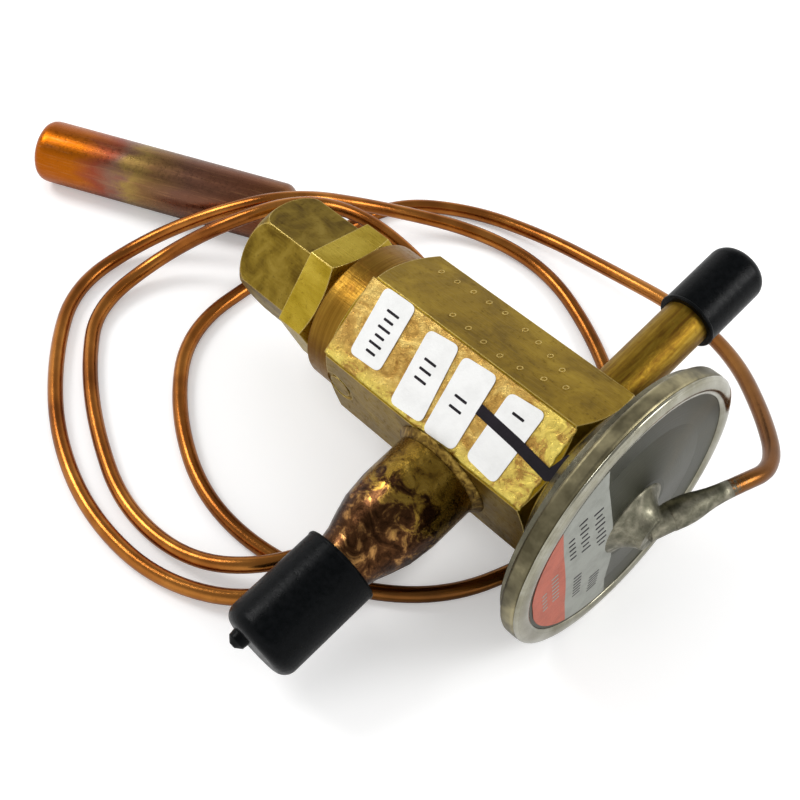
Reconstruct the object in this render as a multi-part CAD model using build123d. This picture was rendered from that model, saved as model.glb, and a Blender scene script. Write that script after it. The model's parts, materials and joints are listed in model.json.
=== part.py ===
from build123d import *
import os
from math import cos, radians, sin, sqrt, tan

# Thermostatic expansion valve with its capillary and sensing bulb, in millimetres.
# Valve frame: X along the valve axis toward the power element, with X = 0 at its outer rim face,
# Y along the inlet tube, Z square to both. The valve lies on its power element's rim.

# ---- fits and clearances
FIT = 0.05                  # radial clearance of a sliding or screwed fit
GAP = 0.3                   # free space between pieces that move apart
BITE = 1.0                  # overshoot of a cutting tool past the face it cuts

# ---- how the valve lies
PITCH = 2.3                 # the axis rises toward the power element, degrees
ROLL = 13.0                 # the inlet tube is turned up, degrees

# ---- power element
RIM_R = 28.5                # rolled rim, outer radius
RIM_ROUND = 0.8
RIM_T = 3.0                 # width of the rolled rim
RIM_BEVEL = 0.6             # rim edge below the outer face
UPPER_WALL = 1.0
LOWER_WALL = 0.9
DIAPHRAGM_T = 0.3
FLANGE_R = 26.8             # lower shell's flange
CLAMP_R = 23.6              # where the diaphragm is clamped from
CUP_R = 17.0                # flat floor of the lower shell
CUP_DEPTH = 4.2             # from the flange's back face to the back of the floor
DOME_R = 19.0               # shallow raised centre of the upper shell
DOME_H = 1.2
LAND_R = 8.4                # flat land under the capillary boss
HUB_OUT_R = 10.4
HUB_WALL = 1.6
HUB_L = 3.5
GASKET_T = 0.4

# ---- body
BODY_CORNER_R = 17.4        # hexagon corner radius
BODY_TURN = 30.0            # first corner, measured from the inlet tube
BODY_CHAMFER_R = 15.1       # chamfer circle on the hexagon's ends
BODY_L = 50.0               # length of the hexagon
NECK_L = 1.0                # turned neck beside the power element
NECK_R = 14.9
RING_L = 5.8                # turned ring beside the bonnet
RING_R = 15.0
CHAMFER_ANGLE = 30.0
CHAMBER_R = 9.5
MARK_X = 57.0               # round inspection mark on the lower face
MARK_R = 3.4
MARK_W = 0.9
MARK_DEPTH = 0.35

# ---- bonnet
BONNET_FLATS = 25.4
BONNET_TURN = 101.0
BONNET_HEX_L = 7.0
UNDERCUT_R = 12.3
UNDERCUT_L = 1.4
BONNET_GASKET_T = 0.4
SPIGOT_R = 11.3
SPIGOT_L = 7.3
NIPPLE_R = 8.0
NIPPLE_L = 5.4

# ---- stem, packing and gland
STEM_R = 3.4
COLLAR_R = 5.2
COLLAR_L = 2.0
COLLAR_SET = 4.8            # from the bonnet's seat to the collar's inner face
COLLAR_WALL = 2.0           # bonnet wall behind the collar
PACKING_R = 5.4
PACKING_L = 3.0
GLAND_RECESS = 0.6
GLAND_SLOT = 1.6
STEM_TAIL = 6.0             # square end beyond the nipple
STEM_FLATS = 5.0

# ---- seal cap
CAP_FLATS = 22.2
CAP_L = 17.4
CAP_END_R = 8.0
CAP_DOME_L = 5.5
CAP_DOME_TURN = 50.0        # where the dome's middle lies on its curve
CAP_THREAD_L = 6.4
CAP_CAVITY_R = 5.5
CAP_END_WALL = 3.5

# ---- metering pieces
SEAT_R = 3.4
SEAT_L = 5.4
SEAT_X = -26.8              # face of the seat in the chamber
PORT_R = 1.6
INLET_PASSAGE_R = 2.5
PIN_R = 1.9
PIN_NOSE_L = 3.0
PIN_NOSE_R = 0.5
PIN_SET = 0.7               # from the seat's face to the root of the nose
CARRIER_X = -36.0           # carrier face toward the seat
CARRIER_T = 4.0
CARRIER_SPIGOT_R = 5.0
CARRIER_SPIGOT_L = 2.0
SCALLOP_R = 2.2
SCALLOPS = 4
ROD_R = 1.2
ROD_CIRCLE = 7.0
PLATE_R = 14.0
PLATE_T = 1.8
SPRING_WIRE = 1.8
SPRING_MEAN_R = 6.2
SPRING_TURNS = 5
GUIDE_T = 2.0
GUIDE_TRAVEL = 2.0
GUIDE_SET = 0.5             # from the spigot to the guide when it is wound right back

# ---- inlet tube, 1/4 in solder socket in a 3/8 in tube
INLET_X = -17.6
INLET_R = 4.765
INLET_SOCKET_R = 3.25
INLET_SOCKET_L = 8.0
INLET_BORE_R = 2.9
INLET_END = 53.0            # from the axis
INLET_SEAT = 11.0           # from the axis
INLET_CAP_R = 5.9
INLET_CAP_MOUTH = 38.0
INLET_CAP_END_T = 1.7
INLET_CAP_ROUND = 2.6
STRAINER_R = 2.3
STRAINER_WALL = 0.3
STRAINER_L = 12.0
STRAINER_RING_L = 1.5

# ---- outlet bell, 3/8 in solder socket
OUTLET_X = -30.1
OUTLET_MOUTH_R = 5.85
OUTLET_SOCKET_R = 4.83
OUTLET_SOCKET_L = 9.5
OUTLET_END = 57.5
OUTLET_BORE_R = 4.6
BELL_R = 8.9
BELL_SEAT = 13.5
BELL_WALL = 1.0
BELL_TAPER_START = 26.0     # from the axis
BELL_TAPER_END = 39.0
BELL_TAPER = [(0, 0), (0.385, 0.197), (0.654, 0.557), (0.862, 0.885), (1, 1)]
OUTLET_CAP_R = 7.7
OUTLET_CAP_MOUTH = 39.8
OUTLET_CAP_END_T = 2.7
OUTLET_CAP_ROUND = 2.6
NUB_R = 2.0
NUB_L = 2.2
NUB_OFF = 3.0
NUB_SHAPE = [(0.6, 0.85), (1, 0.3)]
BRAZE_LEG = 1.5

# ---- capillary boss
BOSS_R = 7.6
BOSS_TOP_R = 3.4
BOSS_H = 4.4
BOSS_MID = (0.3, 0.476)     # a point on the flare, as shares of its height and its two radii's sum
BOSS_SLEEVE_R = 2.5
BOSS_TURN = 69.5            # from the valve axis toward the inlet tube, degrees
BOSS_SLEEVE_L = 8.0
BOSS_SLEEVE_X = 4.0

# ---- capillary and sensing bulb
CAPILLARY_D = 3.2
RUN_SHARE = 0.45            # of a run that each bend beside it may take
LEAD_L = 9.9                # first run, out of the boss
TAIL_L = 12.0               # last run, into the bulb
BULB_R = 7.25
BULB_L = 65.7
BULB_DOME_L = 5.0
BULB_END_R = 4.0
BULB_CRIMP_L = 4.6
BULB_CRIMP_R = 4.2
BULB_CRIMP_EDGE = 0.4
BULB_BRAZE_L = 3.0
BULB_BRAZE_R = 3.4
BULB_TIP = (-167.1, -9.6)
BULB_TURN = 27.9            # direction of the bulb on the table, degrees

# Route of the capillary over the table, with X and Y measured from below the rim's centre.
ROUTE = [
    (12, 27, 30), (2.5, 39.5, 25), (-12.5, 53.5, 19), (-30.5, 61.5, 13), (-50, 64, 7.5),
    (-70, 64.5, 3.5), (-89, 59.5, 1.6), (-103, 47, 1.6), (-104.5, 30, 1.6), (-104.8, 7, 1.6),
    (-103, -16.5, 1.6), (-86.5, -32.5, 1.6), (-64, -42.5, 1.6), (-40, -39.5, 1.6), (-19.5, -24.5, 1.6),
    (-12, -3, 1.6), (-11.5, 19.5, 1.6), (-25.5, 38.5, 1.6), (-43.5, 50.5, 1.6), (-63.5, 58, 1.8),
    (-83, 54.5, 2.5), (-101, 37.5, 7.5), (-107.5, 17.5, 18), (-119.5, 4, 12), (-130.5, -9.5, 2.5),
    (-129, -28, 1.6), (-115.5, -42, 1.6), (-97.5, -54, 1.6), (-77, -60.5, 1.6), (-56, -59.5, 1.8),
    (-39, -49, 4), (-33, -29, 6), (-36, -8.5, 1.6), (-46, 9.5, 1.6), (-59, 25.5, 1.6),
    (-76, 34.5, 4), (-95.5, 30.5, 12), (-103.5, 17.5, 19.5), (-111.5, 2, 16), (-122.5, -9.5, 4),
    (-121, -27.5, 1.6), (-108.5, -38.5, 1.6), (-93, -47.5, 1.6), (-74.5, -54.5, 1.6), (-55.5, -53.5, 3.5),
    (-43, -44, 6.5), (-38.5, -26, 4), (-43, -8.5, 1.6), (-54, 6.5, 1.6), (-68, 19.5, 2),
    (-82.5, 27.5, 5),
]

# ---- places along the valve axis, each worked out from its neighbour
RIM_TOP = -RIM_BEVEL
RIM_BACK = RIM_TOP - RIM_T
DIAPHRAGM_BACK = RIM_BACK - DIAPHRAGM_T
FLANGE_BACK = DIAPHRAGM_BACK - LOWER_WALL
CUP_BACK = FLANGE_BACK - CUP_DEPTH
HUB_END = CUP_BACK - HUB_L
COUNTERBORE_X = HUB_END - GASKET_T
NECK_X = CUP_BACK - NECK_L
BODY_END = NECK_X - BODY_L
SEAT_FACE = BODY_END - RING_L
BONNET_FACE = SEAT_FACE - BONNET_GASKET_T
BONNET_HEX_X = BONNET_FACE - UNDERCUT_L
NIPPLE_X = BONNET_HEX_X - BONNET_HEX_L
NIPPLE_END = NIPPLE_X - NIPPLE_L
SPIGOT_END = SEAT_FACE + SPIGOT_L
GUIDE_X = SPIGOT_END + GUIDE_SET + GUIDE_TRAVEL + GUIDE_T
COLLAR_X = SEAT_FACE + COLLAR_SET
COLLAR_BACK = COLLAR_X - COLLAR_L
PACKING_X = COLLAR_BACK - FIT - COLLAR_WALL
PACKING_BACK = PACKING_X - PACKING_L
GLAND_END = NIPPLE_END + GLAND_RECESS
SEAL_END = NIPPLE_X - CAP_L
BODY_FLAT = BODY_CORNER_R * cos(radians(30))
HUB_IN_R = HUB_OUT_R - HUB_WALL
PLATE_FACE = DIAPHRAGM_BACK - GAP
PLATE_BACK = PLATE_FACE - PLATE_T
CARRIER_BACK = CARRIER_X - CARRIER_T
STEM_FAR = GUIDE_X + GUIDE_TRAVEL + GUIDE_T

# ---- the valve frame on the table
AXIS_H = RIM_R * cos(radians(PITCH)) - (RIM_BACK + RIM_ROUND) * sin(radians(PITCH))
ALONG = Vector(cos(radians(PITCH)), 0, sin(radians(PITCH)))
ACROSS = Vector(
    -sin(radians(PITCH)) * sin(radians(ROLL)),
    cos(radians(ROLL)),
    cos(radians(PITCH)) * sin(radians(ROLL)),
)
UP = ALONG.cross(ACROSS)
VALVE = Plane(origin=(0, 0, AXIS_H), x_dir=ALONG, z_dir=UP)


def turned(*points):
    """A solid turned about the valve axis from (x, radius) points."""
    outline = Polyline(*[(x, r) for x, r in points], close=True)
    return revolve(Plane.XY * make_face(outline), Axis.X)


def rod(x0, x1, radius, y=0.0, z=0.0):
    """A cylinder along the valve axis from x0 to x1."""
    plane = Plane(origin=(min(x0, x1), y, z), x_dir=(0, 1, 0), z_dir=(1, 0, 0))
    return extrude(plane * Circle(radius), abs(x1 - x0))


def pipe(x0, x1, outer, inner):
    """A ring about the valve axis."""
    return turned((x0, inner), (x0, outer), (x1, outer), (x1, inner))


def hex_bar(x0, x1, corner_r, turn):
    """Hexagon bar about the valve axis, its first corner turned from Y toward Z."""
    plane = Plane(origin=(min(x0, x1), 0, 0), x_dir=(0, 1, 0), z_dir=(1, 0, 0))
    return extrude(plane * RegularPolygon(corner_r, 6, rotation=turn), abs(x1 - x0))


def side_turned(x, side, *points):
    """A solid turned about a line through (x, 0, 0) along Y, from (distance, radius) points."""
    outline = Polyline(*[(x + r, side * d) for d, r in points], close=True)
    return revolve(Plane.XY * make_face(outline), Axis((x, 0, 0), (0, side, 0)))


def side_rod(x, side, d0, d1, radius):
    """A cylinder across the valve axis from distance d0 to d1."""
    return side_turned(x, side, (d0, 0), (d0, radius), (d1, radius), (d1, 0))


def rod_places():
    """The two push rods stand on the circle above and below the inlet."""
    return [ROD_CIRCLE, -ROD_CIRCLE]


# ---- body and bonnet
def valve_body():
    drop = (BODY_CORNER_R - BODY_CHAMFER_R) * tan(radians(CHAMFER_ANGLE))
    envelope = turned(
        (BODY_END, 0), (BODY_END, BODY_CHAMFER_R), (BODY_END + drop, BODY_CORNER_R),
        (NECK_X - drop, BODY_CORNER_R), (NECK_X, BODY_CHAMFER_R), (NECK_X, 0),
    )
    body = hex_bar(BODY_END, NECK_X, BODY_CORNER_R, BODY_TURN) & envelope
    body += rod(NECK_X, CUP_BACK, NECK_R)
    body += rod(SEAT_FACE, BODY_END, RING_R)
    body -= rod(COUNTERBORE_X, CUP_BACK + BITE, HUB_OUT_R + FIT)
    body -= rod(SEAT_FACE - BITE, SPIGOT_END + GAP, SPIGOT_R + FIT)
    body -= rod(SPIGOT_END - BITE, SEAT_X, CHAMBER_R)
    body -= rod(SEAT_X, SEAT_X + SEAT_L, SEAT_R)
    body -= rod(SEAT_X, INLET_X, INLET_PASSAGE_R)
    for z in rod_places():
        body -= rod(COUNTERBORE_X + BITE, SEAT_X - BITE, ROD_R + FIT, z=z)
    body -= side_rod(INLET_X, 1, INLET_SEAT, BODY_FLAT + BITE, INLET_R)
    body -= side_rod(INLET_X, 1, 0, INLET_SEAT + BITE, INLET_BORE_R)
    body -= side_rod(OUTLET_X, -1, BELL_SEAT, BODY_CORNER_R, BELL_R)
    body -= side_rod(OUTLET_X, -1, 0, BELL_SEAT + BITE, OUTLET_BORE_R)
    mark = side_turned(
        -MARK_X, -1,
        (BODY_FLAT - MARK_DEPTH, MARK_R - MARK_W), (BODY_FLAT - MARK_DEPTH, MARK_R),
        (BODY_FLAT + BITE, MARK_R), (BODY_FLAT + BITE, MARK_R - MARK_W),
    )
    return body - mark


def bonnet():
    corner = BONNET_FLATS / sqrt(3)
    flat = BONNET_FLATS / 2
    drop = (corner - flat) * tan(radians(CHAMFER_ANGLE))
    envelope = turned(
        (NIPPLE_X, 0), (NIPPLE_X, corner), (BONNET_HEX_X - drop, corner),
        (BONNET_HEX_X, flat), (BONNET_HEX_X, 0),
    )
    piece = hex_bar(NIPPLE_X, BONNET_HEX_X, corner, BONNET_TURN) & envelope
    piece += rod(BONNET_HEX_X, BONNET_FACE, UNDERCUT_R)
    piece += rod(BONNET_FACE, SPIGOT_END, SPIGOT_R)
    piece += rod(NIPPLE_END, NIPPLE_X, NIPPLE_R)
    piece -= rod(NIPPLE_END - BITE, SPIGOT_END + BITE, STEM_R + FIT)
    piece -= rod(NIPPLE_END - BITE, PACKING_X, PACKING_R)
    piece -= rod(PACKING_X + COLLAR_WALL, SPIGOT_END + BITE, COLLAR_R + FIT)
    return piece


def bonnet_gasket():
    return pipe(BONNET_FACE, SEAT_FACE, UNDERCUT_R, SPIGOT_R + FIT)


def adjusting_stem():
    stem = rod(NIPPLE_END - STEM_TAIL, STEM_FAR, STEM_R)
    stem += rod(COLLAR_BACK, COLLAR_X, COLLAR_R)
    square = Plane(origin=(NIPPLE_END - STEM_TAIL, 0, 0), x_dir=(0, 1, 0), z_dir=(1, 0, 0))
    waste = rod(NIPPLE_END - STEM_TAIL - BITE, NIPPLE_END, STEM_R + BITE)
    waste -= extrude(square * Rectangle(STEM_FLATS, STEM_FLATS), 2 * STEM_TAIL, both=True)
    return stem - waste


def stem_packing():
    return pipe(PACKING_BACK, PACKING_X, PACKING_R, STEM_R + FIT)


def gland_nut():
    nut = pipe(GLAND_END, PACKING_BACK, PACKING_R, STEM_R + FIT)
    slot = Pos(GLAND_END, 0, 0) * Box(2 * GLAND_SLOT, 2 * PACKING_R + BITE, GLAND_SLOT)
    return nut - slot


def seal_cap():
    corner = CAP_FLATS / sqrt(3)
    mid_x = SEAL_END + CAP_DOME_L * (1 - cos(radians(CAP_DOME_TURN)))
    mid_r = CAP_END_R + (corner - CAP_END_R) * sin(radians(CAP_DOME_TURN))
    outline = Polyline(
        (SEAL_END, CAP_END_R), (SEAL_END, 0), (NIPPLE_X, 0), (NIPPLE_X, corner),
        (SEAL_END + CAP_DOME_L, corner),
    )
    dome = ThreePointArc((SEAL_END + CAP_DOME_L, corner), (mid_x, mid_r), (SEAL_END, CAP_END_R))
    envelope = revolve(Plane.XY * make_face(outline + dome), Axis.X)
    cap = hex_bar(SEAL_END, NIPPLE_X, corner, BONNET_TURN) & envelope
    cap -= rod(NIPPLE_X - CAP_THREAD_L, NIPPLE_X + BITE, NIPPLE_R + FIT)
    cap -= rod(SEAL_END + CAP_END_WALL, NIPPLE_X, CAP_CAVITY_R)
    return cap


# ---- metering pieces
def seat_orifice():
    return pipe(SEAT_X, SEAT_X + SEAT_L, SEAT_R, PORT_R)


def valve_pin():
    root = SEAT_X - PIN_SET
    return turned(
        (CARRIER_BACK, 0), (CARRIER_BACK, PIN_R), (root, PIN_R),
        (root + PIN_NOSE_L, PIN_NOSE_R), (root + PIN_NOSE_L, 0),
    )


def pin_carrier():
    carrier = rod(CARRIER_BACK, CARRIER_X, CHAMBER_R - FIT)
    carrier += rod(CARRIER_BACK - CARRIER_SPIGOT_L, CARRIER_BACK, CARRIER_SPIGOT_R)
    carrier -= rod(CARRIER_BACK, CARRIER_X + BITE, PIN_R)
    for i in range(SCALLOPS):
        turn = radians(45 + 360 / SCALLOPS * i)
        y, z = CHAMBER_R * cos(turn), CHAMBER_R * sin(turn)
        carrier -= rod(CARRIER_BACK - BITE, CARRIER_X + BITE, SCALLOP_R, y, z)
    return carrier


def push_rod(z):
    return rod(CARRIER_X, PLATE_BACK, ROD_R, z=z)


def buffer_plate():
    return turned(
        (PLATE_BACK, 0), (PLATE_BACK, PLATE_R - PLATE_T), (PLATE_FACE - PLATE_T / 2, PLATE_R),
        (PLATE_FACE, PLATE_R), (PLATE_FACE, 0),
    )


def superheat_spring():
    height = CARRIER_BACK - GUIDE_X - SPRING_WIRE - FIT
    path = Helix(height / SPRING_TURNS, height, SPRING_MEAN_R)
    section = Plane(origin=path @ 0, z_dir=path % 0) * Circle(SPRING_WIRE / 2)
    coil = sweep(section, path=path, is_frenet=True)
    start = GUIDE_X + (SPRING_WIRE + FIT) / 2
    along = Plane(origin=(start, 0, 0), x_dir=(0, 1, 0), z_dir=(1, 0, 0))
    return along.location * coil


def spring_guide():
    guide = pipe(GUIDE_X - GUIDE_T, GUIDE_X, CHAMBER_R - FIT, STEM_R + FIT)
    guide += pipe(GUIDE_X, GUIDE_X + GUIDE_T / 2, SPRING_MEAN_R - SPRING_WIRE, STEM_R + FIT)
    return guide


# ---- power element
def element_lower_shell():
    floor_x = CUP_BACK + LOWER_WALL
    return turned(
        (DIAPHRAGM_BACK, CLAMP_R), (DIAPHRAGM_BACK, FLANGE_R), (FLANGE_BACK, FLANGE_R),
        (FLANGE_BACK, CLAMP_R - LOWER_WALL), (CUP_BACK, CUP_R), (CUP_BACK, HUB_OUT_R),
        (HUB_END, HUB_OUT_R), (HUB_END, HUB_IN_R), (floor_x, HUB_IN_R), (floor_x, CUP_R + LOWER_WALL),
    )


def diaphragm():
    return rod(DIAPHRAGM_BACK, RIM_BACK, FLANGE_R)


def element_upper_shell():
    inner = -UPPER_WALL
    shell = turned(
        (RIM_BACK, CLAMP_R), (RIM_BACK, RIM_R), (RIM_TOP, RIM_R), (0, FLANGE_R), (0, DOME_R),
        (DOME_H, LAND_R), (DOME_H, 0), (DOME_H + inner, 0), (DOME_H + inner, LAND_R),
        (inner, DOME_R), (inner, CLAMP_R),
    )
    edges = shell.edges().filter_by(GeomType.CIRCLE).filter_by(lambda e: abs(e.radius - RIM_R) < 0.01)
    return fillet(edges, RIM_ROUND)


def element_gasket():
    return pipe(COUNTERBORE_X, HUB_END, HUB_OUT_R, HUB_IN_R)


def capillary_boss():
    profile = Polyline(
        (DOME_H + BOSS_H, BOSS_TOP_R), (DOME_H + BOSS_H, 0), (DOME_H, 0), (DOME_H, BOSS_R),
    )
    flare = ThreePointArc(
        (DOME_H, BOSS_R), (DOME_H + BOSS_H * BOSS_MID[0], (BOSS_R + BOSS_TOP_R) * BOSS_MID[1]),
        (DOME_H + BOSS_H, BOSS_TOP_R),
    )
    mound = revolve(Plane.XY * make_face(profile + flare), Axis.X)
    out = (cos(radians(BOSS_TURN)), sin(radians(BOSS_TURN)), 0)
    sleeve_plane = Plane(origin=(BOSS_SLEEVE_X, 0, 0), z_dir=out)
    return mound + extrude(sleeve_plane * Circle(BOSS_SLEEVE_R), BOSS_SLEEVE_L)


# ---- tubes on the body
def inlet_tube():
    stop = INLET_END - INLET_SOCKET_L
    return side_turned(
        INLET_X, 1,
        (INLET_SEAT, INLET_BORE_R), (INLET_SEAT, INLET_R), (INLET_END, INLET_R),
        (INLET_END, INLET_SOCKET_R), (stop, INLET_SOCKET_R), (stop, INLET_BORE_R),
    )


def inlet_braze():
    return side_turned(
        INLET_X, 1,
        (BODY_FLAT, INLET_R), (BODY_FLAT, INLET_R + BRAZE_LEG), (BODY_FLAT + BRAZE_LEG, INLET_R),
    )


def inlet_strainer():
    back = INLET_SEAT + STRAINER_L
    return side_turned(
        INLET_X, 1,
        (back, STRAINER_R), (INLET_SEAT + STRAINER_R, STRAINER_R), (INLET_SEAT, STRAINER_WALL),
        (INLET_SEAT, 0), (INLET_SEAT + STRAINER_WALL, 0),
        (INLET_SEAT + STRAINER_R + STRAINER_WALL, STRAINER_R - STRAINER_WALL),
        (back, STRAINER_R - STRAINER_WALL),
    )


def strainer_ring():
    back = INLET_SEAT + STRAINER_L
    return side_turned(
        INLET_X, 1,
        (back - STRAINER_RING_L, STRAINER_R), (back - STRAINER_RING_L, INLET_BORE_R),
        (back, INLET_BORE_R), (back, STRAINER_R),
    )


def bell_taper():
    """The bell's (distance, radius) points from its full width down to the mouth's tube."""
    length, fall = BELL_TAPER_END - BELL_TAPER_START, BELL_R - OUTLET_MOUTH_R
    return [(BELL_TAPER_START + d * length, BELL_R - r * fall) for d, r in BELL_TAPER]


def outlet_bell():
    taper = bell_taper()
    outer = [(BELL_SEAT, BELL_R)] + taper + [(OUTLET_END, OUTLET_MOUTH_R)]
    stop = OUTLET_END - OUTLET_SOCKET_L
    inner = [(OUTLET_END, OUTLET_SOCKET_R), (stop, OUTLET_SOCKET_R), (stop, OUTLET_BORE_R)]
    inner += [(d, r - BELL_WALL) for d, r in reversed(taper) if r - BELL_WALL > OUTLET_BORE_R]
    inner += [(BELL_SEAT + BELL_WALL, BELL_R - BELL_WALL), (BELL_SEAT + BELL_WALL, OUTLET_BORE_R)]
    return side_turned(OUTLET_X, -1, *outer, *inner, (BELL_SEAT, OUTLET_BORE_R))


def outlet_braze():
    return side_turned(
        OUTLET_X, -1,
        (BODY_FLAT, BELL_R), (BODY_FLAT, BELL_R + BRAZE_LEG), (BODY_FLAT + BRAZE_LEG, BELL_R),
    )


def moulded_cap(x, side, mouth, tube_end, tube_r, outer_r, end, edge):
    """A soft push-on cap with a rounded end."""
    cap = side_turned(x, side, (mouth, 0), (mouth, outer_r), (end, outer_r), (end, 0))
    rim = cap.edges().filter_by(GeomType.CIRCLE)
    cap = fillet(rim.filter_by(lambda e: abs(abs(e.center().Y) - end) < 0.01), edge)
    return cap - side_rod(x, side, mouth - BITE, tube_end + GAP, tube_r + FIT)


def inlet_cap():
    end = INLET_END + GAP + INLET_CAP_END_T
    return moulded_cap(
        INLET_X, 1, INLET_CAP_MOUTH, INLET_END, INLET_R, INLET_CAP_R, end, INLET_CAP_ROUND
    )


def outlet_cap():
    end = OUTLET_END + GAP + OUTLET_CAP_END_T
    cap = moulded_cap(
        OUTLET_X, -1, OUTLET_CAP_MOUTH, OUTLET_END, OUTLET_MOUTH_R, OUTLET_CAP_R, end,
        OUTLET_CAP_ROUND,
    )
    nose = [(end + NUB_L * d, NUB_R * r) for d, r in NUB_SHAPE]
    nub = side_turned(
        OUTLET_X - NUB_OFF, -1, (end - BITE, 0), (end - BITE, NUB_R), *nose, (end + NUB_L, 0)
    )
    return cap + nub


# ---- capillary and bulb, placed on the table
BULB_DIR = Vector(cos(radians(BULB_TURN)), sin(radians(BULB_TURN)), 0)
BULB_START = Vector(BULB_TIP[0], BULB_TIP[1], BULB_R)


def bulb_turned(outline):
    """A solid turned about the bulb's axis, from an outline in (distance, radius)."""
    plane = Plane(origin=BULB_START, x_dir=BULB_DIR, z_dir=(0, 0, 1))
    return plane.location * revolve(Plane.XY * make_face(outline), Axis.X)


def sensing_bulb():
    shoulder = BULB_L - BULB_CRIMP_L
    outline = Polyline(
        (BULB_DOME_L, BULB_R), (shoulder, BULB_R), (BULB_L - BULB_CRIMP_EDGE, BULB_CRIMP_R),
        (BULB_L, BULB_CRIMP_R - BULB_CRIMP_EDGE), (BULB_L, 0), (0, 0), (0, BULB_END_R),
    )
    end = TangentArc((BULB_DOME_L, BULB_R), (0, BULB_END_R), tangent=(-1, 0))
    return bulb_turned(outline + end)


def bulb_braze():
    return bulb_turned(Polyline(
        (BULB_L, 0), (BULB_L, BULB_BRAZE_R), (BULB_L + BULB_BRAZE_L, CAPILLARY_D / 2 + GAP),
        (BULB_L + BULB_BRAZE_L, 0), close=True,
    ))


def capillary_route():
    out = ALONG * cos(radians(BOSS_TURN)) + ACROSS * sin(radians(BOSS_TURN))
    boss_end = VALVE.origin + ALONG * BOSS_SLEEVE_X + out * BOSS_SLEEVE_L
    bulb_end = BULB_START + BULB_DIR * (BULB_L + BULB_BRAZE_L)
    lead = [boss_end, boss_end + out * LEAD_L]
    return lead + [Vector(*p) for p in ROUTE] + [bulb_end + BULB_DIR * TAIL_L, bulb_end]


def bend_radii(points):
    """The largest even arc that the two runs beside each point allow, short of meeting the next."""
    radii = []
    for a, b, c in zip(points, points[1:], points[2:]):
        turn = radians((b - a).get_angle(c - b))
        radii.append(RUN_SHARE * min((b - a).length, (c - b).length) / tan(turn / 2))
    return radii


def capillary_tube():
    points = capillary_route()
    radii = bend_radii(points)
    path = FilletPolyline(*points, radius=radii)
    section = Plane(origin=points[0], z_dir=points[1] - points[0]) * Circle(CAPILLARY_D / 2)
    tube = sweep(section, path=path)
    print("capillary length", round(path.length, 1), "radii", [round(r, 1) for r in radii])
    print("volume over section x length", round(tube.volume / (section.area * path.length), 4))
    return tube


VALVE_PIECES = {
    "valve_body": valve_body,
    "bonnet": bonnet,
    "bonnet_gasket": bonnet_gasket,
    "adjusting_stem": adjusting_stem,
    "stem_packing": stem_packing,
    "gland_nut": gland_nut,
    "seal_cap": seal_cap,
    "seat_orifice": seat_orifice,
    "valve_pin": valve_pin,
    "pin_carrier": pin_carrier,
    "push_rod_upper": lambda: push_rod(rod_places()[0]),
    "push_rod_lower": lambda: push_rod(rod_places()[1]),
    "buffer_plate": buffer_plate,
    "superheat_spring": superheat_spring,
    "spring_guide": spring_guide,
    "element_lower_shell": element_lower_shell,
    "diaphragm": diaphragm,
    "element_upper_shell": element_upper_shell,
    "element_gasket": element_gasket,
    "capillary_boss": capillary_boss,
    "inlet_tube": inlet_tube,
    "inlet_braze": inlet_braze,
    "inlet_strainer": inlet_strainer,
    "strainer_ring": strainer_ring,
    "inlet_cap": inlet_cap,
    "outlet_bell": outlet_bell,
    "outlet_braze": outlet_braze,
    "outlet_cap": outlet_cap,
}
TABLE_PIECES = {
    "sensing_bulb": sensing_bulb,
    "bulb_braze": bulb_braze,
    "capillary_tube": capillary_tube,
}


def main():
    os.makedirs("parts", exist_ok=True)
    solids = {name: VALVE.location * make() for name, make in VALVE_PIECES.items()}
    boxes = [solid.bounding_box() for solid in solids.values()]
    centre_x = (min(b.min.X for b in boxes) + max(b.max.X for b in boxes)) / 2
    centre_y = (min(b.min.Y for b in boxes) + max(b.max.Y for b in boxes)) / 2
    shift = Pos(-centre_x, -centre_y, 0)
    print("origin on the table", round(centre_x, 4), round(centre_y, 4))
    print("rim bottom", round(min(b.min.Z for b in boxes), 4))
    solids.update({name: make() for name, make in TABLE_PIECES.items()})
    for name, solid in solids.items():
        export_step(shift * solid, f"parts/{name}.step")


main()
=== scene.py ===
import json
import math

import bmesh
import bpy
from mathutils import Euler, Matrix, Vector, noise


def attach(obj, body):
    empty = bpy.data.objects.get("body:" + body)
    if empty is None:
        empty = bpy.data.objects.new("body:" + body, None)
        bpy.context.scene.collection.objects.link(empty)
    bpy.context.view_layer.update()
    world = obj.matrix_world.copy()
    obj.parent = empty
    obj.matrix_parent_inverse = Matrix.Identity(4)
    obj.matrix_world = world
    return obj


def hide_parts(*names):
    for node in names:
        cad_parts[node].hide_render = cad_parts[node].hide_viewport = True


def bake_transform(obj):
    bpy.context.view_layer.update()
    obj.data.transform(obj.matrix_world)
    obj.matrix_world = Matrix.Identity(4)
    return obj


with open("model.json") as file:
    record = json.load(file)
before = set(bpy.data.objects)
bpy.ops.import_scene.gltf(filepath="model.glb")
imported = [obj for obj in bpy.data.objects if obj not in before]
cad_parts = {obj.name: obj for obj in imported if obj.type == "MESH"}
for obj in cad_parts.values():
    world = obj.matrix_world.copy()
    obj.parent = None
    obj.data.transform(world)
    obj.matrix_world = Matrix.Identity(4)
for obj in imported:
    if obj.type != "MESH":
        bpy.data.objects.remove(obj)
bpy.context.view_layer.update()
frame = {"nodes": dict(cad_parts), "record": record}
nodes = frame["nodes"]
MM = 0.001

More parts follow.
